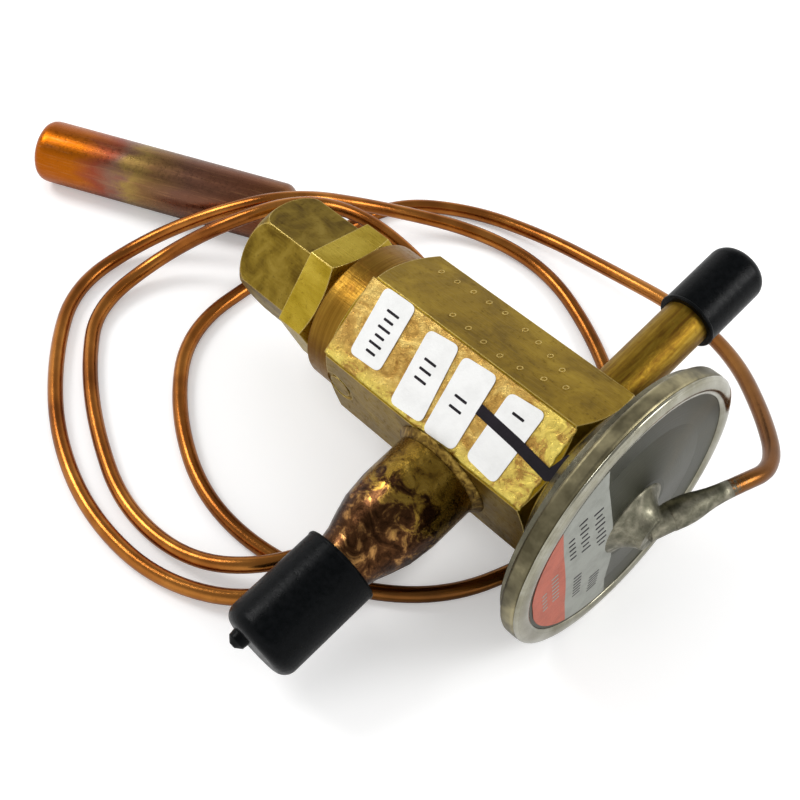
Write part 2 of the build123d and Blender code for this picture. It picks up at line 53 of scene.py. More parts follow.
# ---- where the valve lies: X along its axis, Y along the inlet, Z square to both
PITCH = math.radians(2.3)       # the axis rises toward the power element
ROLL = math.radians(13.0)       # the inlet is turned up about the axis
ALONG = Vector((math.cos(PITCH), 0, math.sin(PITCH)))
ACROSS = Vector((
    -math.sin(PITCH) * math.sin(ROLL), math.cos(ROLL), math.cos(PITCH) * math.sin(ROLL),
))
UP = ALONG.cross(ACROSS)
BENCH = Vector((41.5843, 3.4143, 0))    # from the source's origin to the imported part's
AXIS_HEIGHT = 28.589
VALVE_ORIGIN = (BENCH + Vector((0, 0, AXIS_HEIGHT))) * MM
TURN = Matrix((ALONG, ACROSS, UP)).transposed()

# ---- sizes of the body, in millimetres, that the labels and marks are placed by
BODY_FLAT = 15.07               # from the axis to a flat of the hexagon
BODY_START = -60.0
BODY_END = -10.0
FLAT_HALF = 8.7                 # half a flat's width
LABEL_TURN = 120.0              # the label's flat, from Y toward Z, degrees
TOP_TURN = 60.0                 # the punched flat

# ---- bulb
BULB_TIP = (BENCH + Vector((-167.1, -9.6, 7.25))) * MM
BULB_TURN = math.radians(27.9)
BULB_DIR = Vector((math.cos(BULB_TURN), math.sin(BULB_TURN), 0))
BULB_END = 68.7                 # past the braze, where the capillary comes in

# ---- capillary
CAPILLARY_D = 3.2
CURVE_STEPS = 12
ROUND_STEPS = 5
BOSS_TURN = math.radians(69.5)  # from the valve's axis
BOSS_X = 4.0
BOSS_L = 8.0
LEAD_L = 9.9                    # straight out of the boss
TAIL_L = 12.0                   # straight into the bulb
ROUTE = [                       # on the bench: x, y and height
    (12, 27, 30), (2.5, 39.5, 25), (-12.5, 53.5, 19), (-30.5, 61.5, 13), (-50, 64, 7.5),
    (-70, 64.5, 3.5), (-89, 59.5, 1.6), (-103, 47, 1.6), (-104.5, 30, 1.6), (-104.8, 7, 1.6),
    (-103, -16.5, 1.6), (-86.5, -32.5, 1.6), (-64, -42.5, 1.6), (-40, -39.5, 1.6), (-19.5, -24.5, 1.6),
    (-12, -3, 1.6), (-11.5, 19.5, 1.6), (-25.5, 38.5, 1.6), (-43.5, 50.5, 1.6), (-63.5, 58, 1.8),
    (-83, 54.5, 2.5), (-101, 37.5, 7.5), (-107.5, 17.5, 18), (-119.5, 4, 12), (-130.5, -9.5, 2.5),
    (-129, -28, 1.6), (-115.5, -42, 1.6), (-97.5, -54, 1.6), (-77, -60.5, 1.6), (-56, -59.5, 1.8),
    (-39, -49, 4), (-33, -29, 6), (-36, -8.5, 1.6), (-46, 9.5, 1.6), (-59, 25.5, 1.6),
    (-76, 34.5, 4), (-95.5, 30.5, 12), (-103.5, 17.5, 19.5), (-111.5, 2, 16), (-122.5, -9.5, 4),
    (-121, -27.5, 1.6), (-108.5, -38.5, 1.6), (-93, -47.5, 1.6), (-74.5, -54.5, 1.6), (-55.5, -53.5, 3.5),
    (-43, -44, 6.5), (-38.5, -26, 4), (-43, -8.5, 1.6), (-54, 6.5, 1.6), (-68, 19.5, 2),
    (-82.5, 27.5, 5),
]


def srgb(red, green, blue):
    """A colour written 0 to 255, as the shader's linear one."""
    def linear(value):
        value /= 255
        return value / 12.92 if value <= 0.04045 else ((value + 0.055) / 1.055) ** 2.4
    return (linear(red), linear(green), linear(blue), 1.0)


# ---- camera
CAMERA_PLACE = Vector((0.08898, -0.11369, 0.19931))
CAMERA_TURNS = (40.94, 39.2, 6.29)      # about Z, then X, then the line of sight, degrees
CAMERA_LENS = 54.417
CAMERA_SENSOR = 36.0
CAMERA_NEAR = 0.01


def add_object(name, data):
    made = bpy.data.objects.new(name, data)
    bpy.context.scene.collection.objects.link(made)
    return made


def make_camera():
    data = bpy.data.cameras.new("camera")
    data.lens = CAMERA_LENS
    data.sensor_width = CAMERA_SENSOR
    data.clip_start = CAMERA_NEAR
    camera = add_object("camera", data)
    around, down, roll = (math.radians(turn) for turn in CAMERA_TURNS)
    turn = Matrix.Rotation(around, 4, "Z") @ Matrix.Rotation(down, 4, "X")
    camera.matrix_world = Matrix.Translation(CAMERA_PLACE) @ turn @ Matrix.Rotation(roll, 4, "Z")
    bpy.context.scene.camera = camera


# ---- capillary's curve
def boss_end():
    """Where the capillary leaves its boss, and the way that it leaves."""
    out = ALONG * math.cos(BOSS_TURN) + ACROSS * math.sin(BOSS_TURN)
    return VALVE_ORIGIN + (ALONG * BOSS_X + out * BOSS_L) * MM, out


def capillary_points():
    start, out = boss_end()
    bulb_end = BULB_TIP + BULB_DIR * BULB_END * MM
    middle = [(Vector(point) + BENCH) * MM for point in ROUTE]
    return [start, start + out * LEAD_L * MM] + middle + [bulb_end + BULB_DIR * TAIL_L * MM, bulb_end]


def make_capillary():
    points = capillary_points()
    data = bpy.data.curves.new("capillary", "CURVE")
    data.dimensions = "3D"
    data.resolution_u = CURVE_STEPS
    data.bevel_depth = 1.0      # a metre, which each point's radius brings down to the tube's
    data.bevel_resolution = ROUND_STEPS
    data.use_fill_caps = True
    spline = data.splines.new("NURBS")
    spline.points.add(len(points) - 1)
    for place, point in zip(spline.points, points):
        place.co = (*point, 1.0)
        place.radius = CAPILLARY_D / 2 * MM
    spline.order_u = 3
    spline.use_endpoint_u = True
    tube = add_object("capillary", data)
    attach(tube, "valve")
    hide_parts("capillary_tube")
    return tube


make_camera()
capillary = make_capillary()


# ---- finishes
BEVEL_SAMPLES = 4


class Finish:
    """A node material, built up call by call. Its lengths are in millimetres."""

    def __init__(self, name, metallic, roughness):
        self.material = bpy.data.materials.new(name)
        self.material.use_nodes = True
        self.tree = self.material.node_tree
        self.shader = self.tree.nodes["Principled BSDF"]
        self.shader.inputs["Metallic"].default_value = metallic
        self.shader.inputs["Roughness"].default_value = roughness

    def feed(self, socket, value):
        if isinstance(value, bpy.types.NodeSocket):
            self.tree.links.new(value, socket)
        else:
            socket.default_value = value

    def node(self, kind, inputs, **settings):
        made = self.tree.nodes.new("ShaderNode" + kind)
        for key, value in settings.items():
            setattr(made, key, value)
        for key, value in inputs.items():
            self.feed(made.inputs[key], value)
        return made

    def place(self, origin, turn):
        """Coordinates in millimetres in a frame that is fixed to the piece."""
        there = self.node("TexCoord", {}).outputs["Object"]
        mapping = self.node(
            "Mapping",
            {"Vector": there, "Location": origin, "Rotation": turn, "Scale": (MM, MM, MM)},
            vector_type="TEXTURE",
        )
        return mapping.outputs[0]

    def valve_place(self):
        return self.place(VALVE_ORIGIN, TURN.to_euler())

    def bulb_place(self):
        return self.place(BULB_TIP, Euler((0, 0, BULB_TURN)))

    def stretch(self, where, scale):
        """The place, scaled per axis: a small scale draws the pattern out along that axis."""
        return self.node("Mapping", {"Vector": where, "Scale": scale}, vector_type="POINT").outputs[0]

    def part(self, where, axis):
        return self.node("SeparateXYZ", {"Vector": where}).outputs[axis]

    def noise(self, where, scale, detail=3.0, rough=0.5, twist=0.0):
        """Cloudy values about 0.5, with scale features a millimetre."""
        made = self.node("TexNoise", {
            "Vector": where, "Scale": scale, "Detail": detail, "Roughness": rough, "Distortion": twist,
        })
        return made.outputs[0]

    def maths(self, what, first, second=0.0):
        return self.node("Math", {0: first, 1: second}, operation=what).outputs[0]

    def span(self, value, low, high, to_low=0.0, to_high=1.0):
        """Value from low to high, spread over to_low to to_high and held there."""
        made = self.node("MapRange", {
            "Value": value, "From Min": low, "From Max": high, "To Min": to_low, "To Max": to_high,
        }, interpolation_type="SMOOTHSTEP")
        return made.outputs[0]

    def ramp(self, value, *stops):
        """A colour for the value, from (value, colour) stops."""
        made = self.node("ValToRGB", {0: value})
        band = made.color_ramp
        while len(band.elements) < len(stops):
            band.elements.new(0.5)
        for element, (place, colour) in zip(band.elements, stops):
            element.position = place
            element.color = colour
        return made.outputs[0]

    def mix(self, share, first, second):
        return self.node("Mix", {0: share, 6: first, 7: second}, data_type="RGBA").outputs[2]

    def colour(self, value):
        self.feed(self.shader.inputs["Base Color"], value)

    def rough(self, value):
        self.feed(self.shader.inputs["Roughness"], value)

    def relief(self, height, depth, rounding=0.0):
        """Bumps of that depth in millimetres, over edges rounded by that many millimetres."""
        inputs = {"Height": height, "Strength": 1.0, "Distance": depth * MM}
        if rounding:
            soft = self.node("Bevel", {"Radius": rounding * MM}, samples=BEVEL_SAMPLES)
            inputs["Normal"] = soft.outputs[0]
        self.feed(self.shader.inputs["Normal"], self.node("Bump", inputs).outputs[0])


FACE_MATCH = 0.995              # how far the rounded normal agrees with the face's own
EDGE_MATCH = 0.93
EDGE_WEAR_AND_HIGHLIGHT_WIDTH = 0.35
# bright brass for the edges: partly worn brass, partly a painted highlight
WORN_AND_HIGHLIT_EDGE_BRASS = srgb(222, 196, 118)


def edge_wear_and_highlight(finish, rounding):
    """1 along the edges of a piece, where the brass is partly worn and partly given a painted highlight, 0
    on its faces.
    """
    soft = finish.node("Bevel", {"Radius": rounding * MM}, samples=BEVEL_SAMPLES).outputs[0]
    flat = finish.node("NewGeometry", {}).outputs["Normal"]
    same = finish.node("VectorMath", {0: soft, 1: flat}, operation="DOT_PRODUCT").outputs["Value"]
    return finish.span(same, FACE_MATCH, EDGE_MATCH)


def worn_brass(name, dark, mid, light, stain, rough, cloud=0.1):
    """Turned or drawn brass: clouds of tarnish, fine lines along the bar, brown stains, bright edges that
    are partly wear and partly a painted highlight.

    It returns the finish, its coordinates and its colour, for a finish that builds on them."""
    finish = Finish(name, 1.0, rough)
    where = finish.valve_place()
    clouds = finish.noise(where, cloud, detail=4.0, rough=0.6, twist=0.6)
    lines = finish.noise(finish.stretch(where, (0.06, 1.0, 1.0)), 3.0, detail=3.0)
    specks = finish.noise(where, 0.9, detail=6.0, rough=0.7)
    colour = finish.ramp(clouds, (0.34, dark), (0.5, mid), (0.68, light))
    colour = finish.mix(finish.span(lines, 0.4, 0.75, 0.0, 0.3), colour, light)
    colour = finish.mix(finish.span(specks, 0.57, 0.72, 0.0, 0.6), colour, stain)
    # bright edges: partly worn brass, partly a painted highlight along every rounded edge
    colour = finish.mix(edge_wear_and_highlight(finish, EDGE_WEAR_AND_HIGHLIGHT_WIDTH), colour, WORN_AND_HIGHLIT_EDGE_BRASS)
    finish.colour(colour)
    mottle = finish.maths("ADD", finish.span(specks, 0.45, 0.75, 0.0, 0.22), rough - 0.06)
    finish.rough(finish.maths("ADD", mottle, finish.span(lines, 0.3, 0.7, 0.0, 0.1)))
    finish.relief(finish.maths("ADD", lines, specks), 0.035, rounding=0.3)
    return finish, where, colour


RING_BLEND = 0.1


def body_brass():
    """The body: olive tarnish on its flats, golden satin on the turned ring beside the bonnet."""
    finish, where, colour = worn_brass(
        "brass_body", dark=srgb(112, 87, 12), mid=srgb(136, 108, 20), light=srgb(162, 133, 36),
        stain=srgb(86, 58, 14), rough=0.34,
    )
    rings = finish.noise(finish.stretch(where, (3.0, 0.05, 0.05)), 1.0, detail=2.0)
    cloud = finish.noise(where, 0.3, detail=4.0, rough=0.6)
    gold = finish.ramp(rings, (0.3, srgb(122, 86, 26)), (0.7, srgb(150, 113, 42)))
    gold = finish.mix(finish.span(cloud, 0.48, 0.68, 0.0, 0.6), gold, srgb(134, 92, 34))
    turned = finish.span(finish.part(where, 0), BODY_START - RING_BLEND, BODY_START + RING_BLEND, 1.0, 0.0)
    finish.colour(finish.mix(turned, colour, gold))
    return finish.material


def turned_brass():
    """Bonnet and inner turned parts: clean yellow brass."""
    finish = worn_brass(
        "brass_turned", dark=srgb(150, 124, 28), mid=srgb(174, 147, 44), light=srgb(198, 172, 66),
        stain=srgb(118, 88, 22), rough=0.3,
    )[0]
    return finish.material


def dull_brass():
    """Seal cap and the ring under the bonnet: dull brass with close clouds of tarnish."""
    finish = worn_brass(
        "brass_dull", dark=srgb(98, 76, 22), mid=srgb(132, 108, 36), light=srgb(156, 132, 56),
        stain=srgb(70, 52, 16), rough=0.44, cloud=0.2,
    )[0]
    return finish.material


def raised_brass():
    """The raised edges of the punch marks, rubbed bright."""
    finish = worn_brass(
        "stamp", dark=srgb(176, 146, 62), mid=srgb(196, 166, 82), light=srgb(214, 188, 104),
        stain=srgb(128, 96, 36), rough=0.3,
    )[0]
    return finish.material


BELL_TURNS_COPPER = (22.0, 28.0)    # millimetres out from the axis


def bell_copper():
    """Brass yellow by the body, brown oxidised copper beyond, with bright patches that are partly
    half-polished copper and partly painted highlights.
    """
    finish = Finish("copper_bell", 1.0, 0.34)
    where = finish.valve_place()
    reach = finish.maths("MULTIPLY", finish.part(where, 1), -1.0)
    cloud = finish.noise(where, 0.28, detail=5.0, rough=0.65, twist=1.2)
    fine = finish.noise(where, 1.1, detail=6.0, rough=0.7)
    brass = finish.ramp(
        cloud, (0.36, srgb(108, 80, 28)), (0.52, srgb(140, 110, 42)), (0.7, srgb(170, 138, 62)),
    )
    # the copper's brightest stop makes patches that are partly half-polished copper and partly painted
    # highlights
    copper = finish.ramp(
        cloud, (0.36, srgb(44, 26, 14)), (0.52, srgb(84, 54, 32)), (0.66, srgb(182, 134, 78)),
    )
    edge = finish.maths("ADD", reach, finish.span(cloud, 0.3, 0.7, 6.0, -6.0))
    colour = finish.mix(finish.span(edge, *BELL_TURNS_COPPER), brass, copper)
    colour = finish.mix(finish.span(fine, 0.56, 0.68, 0.0, 0.85), colour, srgb(38, 24, 14))
    finish.colour(colour)
    finish.rough(finish.span(fine, 0.35, 0.7, 0.16, 0.4))
    finish.relief(finish.maths("ADD", cloud, finish.maths("MULTIPLY", fine, 0.4)), 0.05, rounding=0.2)
    return finish.material


def inlet_copper():
    """Inlet tube: brass-coloured wash with red copper showing through in streaks."""
    finish = Finish("inlet_wash", 1.0, 0.3)
    where = finish.valve_place()
    streaks = finish.noise(finish.stretch(where, (1.0, 0.12, 1.0)), 0.9, detail=4.0, rough=0.6, twist=0.4)
    fine = finish.noise(where, 1.3, detail=5.0, rough=0.7)
    colour = finish.ramp(
        streaks, (0.34, srgb(110, 78, 26)), (0.52, srgb(138, 108, 34)), (0.7, srgb(162, 132, 52)),
    )
    colour = finish.mix(finish.span(fine, 0.58, 0.72, 0.0, 0.6), colour, srgb(112, 70, 30))
    finish.colour(colour)
    finish.rough(finish.span(fine, 0.35, 0.7, 0.4, 0.54))
    finish.relief(finish.maths("ADD", streaks, fine), 0.05, rounding=0.2)
    return finish.material


def bulb_copper():
    """Sensing bulb: heat tints along its length, from bright orange at the tip to brown violet."""
    finish = Finish("copper_bulb", 1.0, 0.28)
    where = finish.bulb_place()
    along = finish.part(where, 0)
    cloud = finish.noise(finish.stretch(where, (0.35, 1.0, 1.0)), 0.22, detail=4.0, rough=0.6, twist=0.5)
    fine = finish.noise(where, 1.2, detail=6.0, rough=0.7)
    lines = finish.noise(finish.stretch(where, (0.05, 1.0, 1.0)), 2.6, detail=3.0)
    drift = finish.maths("ADD", along, finish.span(cloud, 0.3, 0.7, -2.5, 2.5))
    colour = finish.ramp(
        finish.maths("DIVIDE", drift, BULB_END),
        (0.0, srgb(172, 88, 8)), (0.17, srgb(176, 94, 16)), (0.27, srgb(150, 74, 52)),
        (0.33, srgb(140, 102, 84)), (0.38, srgb(160, 130, 72)), (0.44, srgb(132, 98, 62)),
        (0.56, srgb(118, 82, 66)), (0.8, srgb(122, 76, 54)), (1.0, srgb(130, 84, 46)),
    )
    colour = finish.mix(finish.span(lines, 0.5, 0.8, 0.0, 0.25), colour, srgb(206, 150, 104))
    colour = finish.mix(finish.span(fine, 0.6, 0.74, 0.0, 0.5), colour, srgb(84, 46, 32))
    finish.colour(colour)
    finish.rough(finish.span(fine, 0.35, 0.7, 0.26, 0.4))
    finish.relief(finish.maths("ADD", lines, fine), 0.02)
    return finish.material


TUBE_BROWN = (45.0, 90.0)       # distances from the boss: brown before, clean copper after
TUBE_TINNED = (15.0, 19.0)


def tube_copper():
    """Capillary: drawn copper with darker runs, brown near its boss and tinned grey right beside it."""
    finish = Finish("copper_tube", 1.0, 0.26)
    where = finish.valve_place()
    runs = finish.noise(where, 0.06, detail=3.0, rough=0.6)
    fine = finish.noise(where, 1.6, detail=4.0, rough=0.7)
    colour = finish.ramp(
        runs, (0.35, srgb(132, 76, 32)), (0.5, srgb(164, 99, 42)), (0.66, srgb(192, 126, 58)),
    )
    colour = finish.mix(finish.span(fine, 0.6, 0.74, 0.0, 0.5), colour, srgb(104, 56, 28))
    start = Vector((BOSS_X, 0, 0))
    away = finish.node("VectorMath", {0: where, 1: start}, operation="DISTANCE").outputs["Value"]
    colour = finish.mix(finish.span(away, *TUBE_BROWN, 0.65, 0.0), colour, srgb(88, 62, 32))
    ragged = finish.maths("ADD", away, finish.span(fine, 0.3, 0.7, -3.0, 3.0))
    tinned = finish.ramp(fine, (0.35, srgb(74, 72, 60)), (0.62, srgb(140, 136, 118)))
    colour = finish.mix(finish.span(ragged, *TUBE_TINNED), tinned, colour)
    finish.colour(colour)
    finish.rough(finish.span(ragged, *TUBE_TINNED, 0.42, 0.24))
    finish.relief(fine, 0.03)
    return finish.material


def solder_metal():
    """Soft solder: grey with an olive cast, lumpy where it ran."""
    finish = Finish("solder", 1.0, 0.4)
    where = finish.valve_place()
    lumps = finish.noise(where, 0.5, detail=5.0, rough=0.6, twist=0.2)
    fine = finish.noise(where, 2.2, detail=4.0, rough=0.7)
    colour = finish.ramp(
        lumps, (0.34, srgb(96, 95, 80)), (0.52, srgb(124, 121, 104)), (0.7, srgb(156, 151, 132)),
    )
    finish.colour(finish.mix(finish.span(fine, 0.58, 0.72, 0.0, 0.5), colour, srgb(78, 64, 46)))
    finish.rough(finish.span(lumps, 0.35, 0.7, 0.5, 0.3))
    finish.relief(finish.maths("ADD", lumps, finish.maths("MULTIPLY", fine, 0.3)), 0.08, rounding=0.6)
    return finish.material


def braze_metal():
    """Braze fillet: brown brass, burnt and lumpy."""
    finish = Finish("braze", 1.0, 0.42)
    where = finish.valve_place()
    lumps = finish.noise(where, 0.6, detail=5.0, rough=0.65, twist=0.8)
    finish.colour(finish.ramp(
        lumps, (0.36, srgb(66, 48, 24)), (0.5, srgb(122, 96, 42)), (0.66, srgb(176, 146, 72)),
    ))
    finish.rough(finish.span(lumps, 0.35, 0.7, 0.5, 0.34))
    finish.relief(lumps, 0.12, rounding=0.5)
    return finish.material


# ---- steels of the power element
def distance_from_axis(finish, where):
    ring = finish.node("VectorMath", {0: where, 1: (0.0, 1.0, 1.0)}, operation="MULTIPLY").outputs[0]
    return finish.node("VectorMath", {0: ring}, operation="LENGTH").outputs["Value"]


RIM_FROM = 26.0                 # the radius where the rolled rim begins
RIM_BLEND = 0.6


def shell_steel():
    """Upper shell: grey-green spun steel, fine rings and faint scratches, its rolled rim stained cream."""
    finish = Finish("steel_shell", 1.0, 0.34)
    where = finish.valve_place()
    radius = distance_from_axis(finish, where)
    cloud = finish.noise(where, 0.07, detail=3.0, rough=0.5, twist=0.1)
    fine = finish.noise(where, 1.6, detail=5.0, rough=0.7)
    rings = finish.noise(finish.node("CombineXYZ", {"X": radius}).outputs[0], 2.2, detail=2.0, rough=0.6)
    scratch = finish.noise(finish.stretch(where, (1.0, 0.07, 1.6)), 2.2, detail=2.0, rough=0.6)
    face = finish.ramp(
        cloud, (0.36, srgb(66, 67, 54)), (0.54, srgb(76, 76, 62)), (0.7, srgb(90, 87, 71)),
    )
    face = finish.mix(finish.span(scratch, 0.62, 0.72, 0.0, 0.12), face, srgb(140, 136, 118))
    face = finish.mix(finish.span(rings, 0.55, 0.7, 0.0, 0.25), face, srgb(86, 85, 74))
    face = finish.mix(finish.span(fine, 0.62, 0.76, 0.0, 0.5), face, srgb(66, 61, 48))
    stain = finish.noise(where, 0.12, detail=4.0, rough=0.6)
    rim = finish.ramp(
        stain, (0.36, srgb(84, 78, 58)), (0.52, srgb(118, 111, 86)), (0.68, srgb(172, 162, 126)),
    )
    finish.colour(finish.mix(finish.span(radius, RIM_FROM, RIM_FROM + RIM_BLEND), face, rim))
    finish.rough(finish.span(cloud, 0.35, 0.7, 0.36, 0.42))
    finish.relief(finish.maths("ADD", rings, finish.maths("MULTIPLY", fine, 0.3)), 0.03, rounding=0.3)
    return finish.material


def bead_steel():
    """The rolled bead: steel polished bright, with fine draw marks round it."""
    finish = Finish("steel_bead", 1.0, 0.2)
    where = finish.valve_place()
    radius = distance_from_axis(finish, where)
    rings = finish.noise(finish.node("CombineXYZ", {"X": radius}).outputs[0], 6.0, detail=2.0, rough=0.6)
    cloud = finish.noise(where, 0.16, detail=4.0, rough=0.6)
    fine = finish.noise(where, 1.8, detail=5.0, rough=0.7)
    colour = finish.ramp(
        cloud, (0.36, srgb(150, 146, 126)), (0.54, srgb(172, 169, 152)), (0.7, srgb(192, 190, 176)),
    )
    colour = finish.mix(finish.span(rings, 0.5, 0.7, 0.0, 0.4), colour, srgb(104, 101, 84))
    finish.colour(finish.mix(finish.span(fine, 0.6, 0.74, 0.0, 0.5), colour, srgb(96, 84, 58)))
    finish.rough(finish.span(fine, 0.35, 0.7, 0.1, 0.2))
    finish.relief(rings, 0.01)
    return finish.material


def rim_steel():
    """Lower shell: spun steel with a faint cream tint."""
    finish = Finish("steel_rim", 1.0, 0.32)
    where = finish.valve_place()
    cloud = finish.noise(where, 0.12, detail=4.0, rough=0.6)
    fine = finish.noise(where, 1.4, detail=5.0, rough=0.7)
    colour = finish.ramp(
        cloud, (0.36, srgb(100, 97, 82)), (0.52, srgb(124, 119, 100)), (0.68, srgb(150, 143, 118)),
    )
    finish.colour(finish.mix(finish.span(fine, 0.6, 0.74, 0.0, 0.6), colour, srgb(70, 62, 46)))
    finish.rough(finish.span(fine, 0.35, 0.7, 0.26, 0.44))
    finish.relief(fine, 0.05, rounding=0.2)
    return finish.material


def ground_steel():
    """Spring, pin, rods and other inner steel: ground bright."""
    finish = Finish("steel_inner", 1.0, 0.26)
    where = finish.valve_place()
    lines = finish.noise(finish.stretch(where, (0.1, 1.0, 1.0)), 3.0, detail=3.0)
    finish.colour(finish.ramp(lines, (0.35, srgb(150, 152, 154)), (0.65, srgb(206, 206, 204))))
    finish.rough(finish.span(lines, 0.3, 0.7, 0.2, 0.34))
    finish.relief(lines, 0.02, rounding=0.1)
    return finish.material


# ---- caps, packing, foil and paper
def black_vinyl():
    """Dip-moulded caps: black, softly glossy, with a faint orange peel and dust."""
    finish = Finish("black_vinyl", 0.0, 0.36)
    finish.shader.inputs["Specular IOR Level"].default_value = 0.08
    where = finish.valve_place()
    peel = finish.noise(where, 1.1, detail=3.0, rough=0.5)
    dust = finish.noise(where, 2.6, detail=6.0, rough=0.75)
    colour = finish.ramp(peel, (0.35, srgb(4, 6, 7)), (0.65, srgb(9, 11, 13)))
    finish.colour(finish.mix(finish.span(dust, 0.64, 0.8, 0.0, 0.4), colour, srgb(40, 42, 42)))
    finish.rough(finish.span(peel, 0.3, 0.7, 0.26, 0.36))
    finish.relief(finish.maths("ADD", peel, finish.maths("MULTIPLY", dust, 0.3)), 0.04, rounding=0.4)
    return finish.material


def packing_fibre():
    """Stem packing and the ring under the power element: grey pressed fibre."""
    finish = Finish("packing", 0.0, 0.8)
    where = finish.valve_place()
    weave = finish.noise(where, 3.0, detail=4.0, rough=0.7)
    finish.colour(finish.ramp(weave, (0.35, srgb(72, 72, 70)), (0.65, srgb(118, 118, 114))))
    finish.relief(weave, 0.1)
    return finish.material


FOIL_LOW_EDGE = (-17.0, -11.0)  # where the bright yellow fades, across the valve and along it
FOIL_FAR_END = (-24.0, -12.0)


def gold_foil():
    """Label foil: crumpled tan gold, with bright yellow patches along its low edge and its far end."""
    finish = Finish("gold_foil", 1.0, 0.24)
    where = finish.valve_place()
    patch = finish.noise(where, 0.2, detail=5.0, rough=0.65, twist=1.0)
    fine = finish.noise(where, 1.0, detail=6.0, rough=0.75, twist=0.5)
    colour = finish.ramp(
        patch, (0.34, srgb(158, 118, 56)), (0.5, srgb(188, 150, 78)), (0.66, srgb(218, 188, 110)),
    )
    low = finish.span(finish.part(where, 1), *FOIL_LOW_EDGE, 1.0, 0.0)
    far = finish.span(finish.part(where, 0), *FOIL_FAR_END, 0.0, 0.6)
    bright = finish.maths("MULTIPLY", finish.maths("MAXIMUM", low, far), finish.span(patch, 0.4, 0.5))
    colour = finish.mix(bright, colour, srgb(240, 222, 106))
    finish.colour(finish.mix(finish.span(fine, 0.56, 0.68, 0.0, 0.6), colour, srgb(122, 82, 40)))
    finish.rough(finish.span(fine, 0.35, 0.7, 0.26, 0.42))
    finish.relief(finish.maths("ADD", patch, fine), 0.16)
    return finish.material


def paper(name, light, dark, rough=0.55, gloss=0.5):
    """Paper or dry ink: nearly even, with faint clouds and fibres."""
    finish = Finish(name, 0.0, rough)
    finish.shader.inputs["Specular IOR Level"].default_value = gloss
    where = finish.valve_place()
    cloud = finish.noise(where, 0.3, detail=3.0, rough=0.6)
    fibre = finish.noise(where, 2.4, detail=5.0, rough=0.7)
    colour = finish.ramp(cloud, (0.3, dark), (0.6, light))
    finish.colour(finish.mix(finish.span(fibre, 0.62, 0.76, 0.0, 0.35), colour, dark))
    finish.relief(finish.maths("ADD", cloud, fibre), 0.05)
    return finish.material


finishes = {
    "brass_body": body_brass(),
    "brass_turned": turned_brass(),
    "brass_dull": dull_brass(),
    "copper_bell": bell_copper(),
    "copper_bulb": bulb_copper(),
    "copper_tube": tube_copper(),
    "solder": solder_metal(),
    "steel_shell": shell_steel(),
    "steel_rim": rim_steel(),
    "steel_inner": ground_steel(),
    "black_vinyl": black_vinyl(),
    "packing": packing_fibre(),
    "foil": gold_foil(),
    "inlet": inlet_copper(),
    "braze": braze_metal(),
    "bead": bead_steel(),
    "white_paper": paper("white_paper", srgb(248, 248, 246), srgb(240, 240, 238)),
    "grey_paper": paper("grey_paper", srgb(152, 154, 146), srgb(138, 140, 132)),
    "red_paper": paper("red_paper", srgb(184, 96, 74), srgb(166, 84, 64)),
    "ink": paper("ink", srgb(26, 18, 28), srgb(16, 11, 18), 0.45, 0.2),
    "stamp": raised_brass(),
}
OWN_FINISH = {                  # nodes whose finish isn't their slot's
    "element_upper_shell": "steel_shell",
    "element_lower_shell": "steel_rim",
    "inlet_tube": "inlet",
    "inlet_braze": "braze",
    "outlet_braze": "braze",
}


def dress(obj, finish):
    obj.data.materials.clear()
    obj.data.materials.append(finishes[finish])


for row in frame["record"]["subparts"]:
    dress(nodes[row["node"]], OWN_FINISH.get(row["node"], row["material_slot"]))
dress(capillary, "copper_tube")


# ---- pieces that the valve carries
def valve_spot(x, y, z):
    """A point of the valve's own frame, in the row frame."""
    return VALVE_ORIGIN + (ALONG * x + ACROSS * y + UP * z) * MM


def flat_spot(turn, x, side, lift):
    """A point on a flat of the body: x along it, side across it, lift above it."""
    angle = math.radians(turn)
    radial, across = BODY_FLAT + lift, side
    y = radial * math.cos(angle) + across * math.sin(angle)
    z = radial * math.sin(angle) - across * math.cos(angle)
    return valve_spot(x, y, z)


def label_spot(x, side, lift):
    return flat_spot(LABEL_TURN, x, side, lift)


def top_spot(x, side, lift):
    return flat_spot(TOP_TURN, x, side, lift)


def face_spot(y, z, lift):
    """A point on the power element's face, which rises in a shallow cone to the boss."""
    rise = FACE_RISE * min(1.0, max(0.0, (FACE_FLAT_R - math.hypot(y, z)) / (FACE_FLAT_R - FACE_LAND_R)))
    return valve_spot(rise + lift, y, z)


def keep_mesh(mesh, name, smooth=False):
    """The finished mesh data of a bmesh, its faces turned outward."""
    bmesh.ops.recalc_face_normals(mesh, faces=mesh.faces[:])
    for face in mesh.faces:
        face.smooth = smooth
    data = bpy.data.meshes.new(name)
    mesh.to_mesh(data)
    mesh.free()
    return data


def make_piece(data, finish, body):
    """A dressed piece that rides on a body, with the finish that it is given."""
    piece = add_object(data.name, data)
    data.materials.append(finishes[finish])
    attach(piece, body)
    return piece


def rounded_outline(corners, radius, steps=6):
    """The outline through corners, each rounded by a quadratic curve."""
    points = []
    count = len(corners)
    for i, corner in enumerate(corners):
        here, before, after = Vector(corner), Vector(corners[i - 1]), Vector(corners[(i + 1) % count])
        start = here + (before - here).normalized() * radius
        end = here + (after - here).normalized() * radius
        for k in range(steps + 1):
            t = k / steps
            points.append(start * (1 - t) ** 2 + here * 2 * t * (1 - t) + end * t ** 2)
    return points


def add_plate(mesh, outline, spot, low, high):
    """A thin plate between two heights over a surface, from its outline in the surface's millimetres."""
    lower = [mesh.verts.new(spot(x, y, low)) for x, y in outline]
    upper = [mesh.verts.new(spot(x, y, high)) for x, y in outline]
    mesh.faces.new(upper)
    mesh.faces.new(lower[::-1])
    for i in range(len(outline)):
        j = (i + 1) % len(outline)
        mesh.faces.new((lower[i], lower[j], upper[j], upper[i]))


